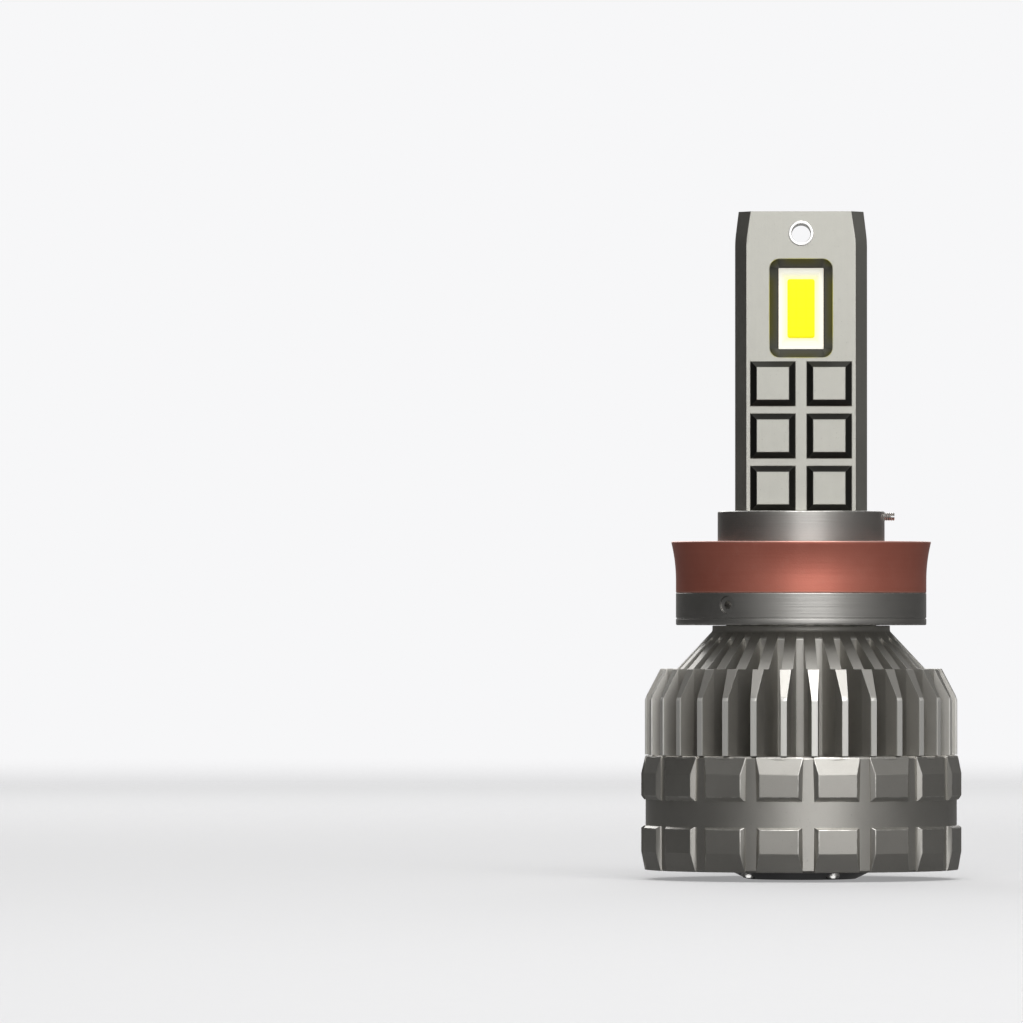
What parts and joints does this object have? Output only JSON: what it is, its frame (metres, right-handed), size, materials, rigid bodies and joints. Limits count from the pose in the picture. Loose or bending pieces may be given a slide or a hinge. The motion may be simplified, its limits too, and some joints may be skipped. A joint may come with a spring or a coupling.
{
  "type": "led headlight bulb",
  "caption": "LED headlight bulb: flat two-sided lamp post with light windows and square studs, turning collar with red seal, finned heat sink and fan housing with grip blocks.",
  "frame": {"origin": "on the lamp's axis, in the plane of the collar's seat, which is the top face of the red seal", "axes": "+Z along the lamp's axis towards the tip of the post; -Y out of the front light source; +X to the right seen from the front"},
  "size_m": [0.0365, 0.0374, 0.0759],
  "materials": {
    "post_metal": "satin grey anodised, fine bead-blasted grain",
    "copper": "copper board, brushed edges",
    "led_ceramic": "white matte ceramic",
    "phosphor": "yellow phosphor in silicone",
    "bright_steel": "nickel plated",
    "collar_metal": "turned satin aluminium",
    "seal_silicone": "red-brown moulded silicone",
    "black_steel": "black oxide",
    "screw_steel": "satin stainless steel",
    "black_rubber": "moulded black rubber",
    "sink_metal": "gunmetal satin anodised, machined",
    "circuit_board": "green solder mask",
    "ferrite": "sintered ferrite",
    "capacitor_can": "sleeved aluminium can",
    "chip_plastic": "moulded epoxy",
    "terminal_plastic": "moulded green plastic",
    "black_plastic": "moulded black plastic",
    "lead_insulation": "red wire insulation",
    "rotor_plastic": "moulded black plastic, semi-gloss",
    "yoke_steel": "pressed steel",
    "bronze": "oil-filled sintered bronze",
    "copper_winding": "enamelled copper wire",
    "label_film": "plain silver film, no print"
  },
  "bodies": {
    "root": {"front_plate": "post_metal", "rear_plate": "post_metal", "copper_board": "copper", "led_base_front": "led_ceramic", "led_base_rear": "led_ceramic", "phosphor_front": "phosphor", "phosphor_rear": "phosphor", "post_eyelet": "bright_steel", "foot_pin": "bright_steel", "stem_o_ring": "black_rubber", "heat_sink": "sink_metal", "driver_board": "circuit_board", "driver_coil": "ferrite", "driver_capacitors": "capacitor_can", "driver_chips": "chip_plastic", "input_terminal": "terminal_plastic", "driver_cap": "black_plastic", "led_leads": "lead_insulation", "fan_shroud": "sink_metal", "cable_gland": "black_rubber", "fan_frame": "black_plastic", "hub_screws": "bright_steel", "shroud_screws": "black_steel", "fan_bearing": "bronze", "stator_core": "yoke_steel", "stator_coils": "copper_winding", "fan_board": "circuit_board", "fan_leads": "lead_insulation", "hub_label": "label_film"},
    "collar": {"collar": "collar_metal", "seal_ring": "seal_silicone"},
    "neck_screw": {"neck_screw": "bright_steel"},
    "lock_screw": {"lock_screw": "screw_steel"},
    "fan": {"fan_rotor": "rotor_plastic", "rotor_yoke": "yoke_steel", "rotor_magnet": "ferrite", "fan_shaft": "bright_steel", "shaft_clip": "black_steel"}
  },
  "joints": [
    {"name": "collar_turn", "type": "hinge", "parent": "root", "child": "collar", "pos_m": [0, 0, 0], "axis": [0, 0, 1], "continuous": true},
    {"name": "neck_screw_slide", "type": "slide", "parent": "collar", "child": "neck_screw", "axis": [-1, 0, 0], "range_m": [0, 0.0011]},
    {"name": "lock_screw_slide", "type": "slide", "parent": "collar", "child": "lock_screw", "axis": [0.5878, 0.809, 0], "range_m": [0, 0.0008]},
    {"name": "fan_spin", "type": "hinge", "parent": "root", "child": "fan", "pos_m": [0, 0, -0.033], "axis": [0, 0, 1], "continuous": true}
  ]
}
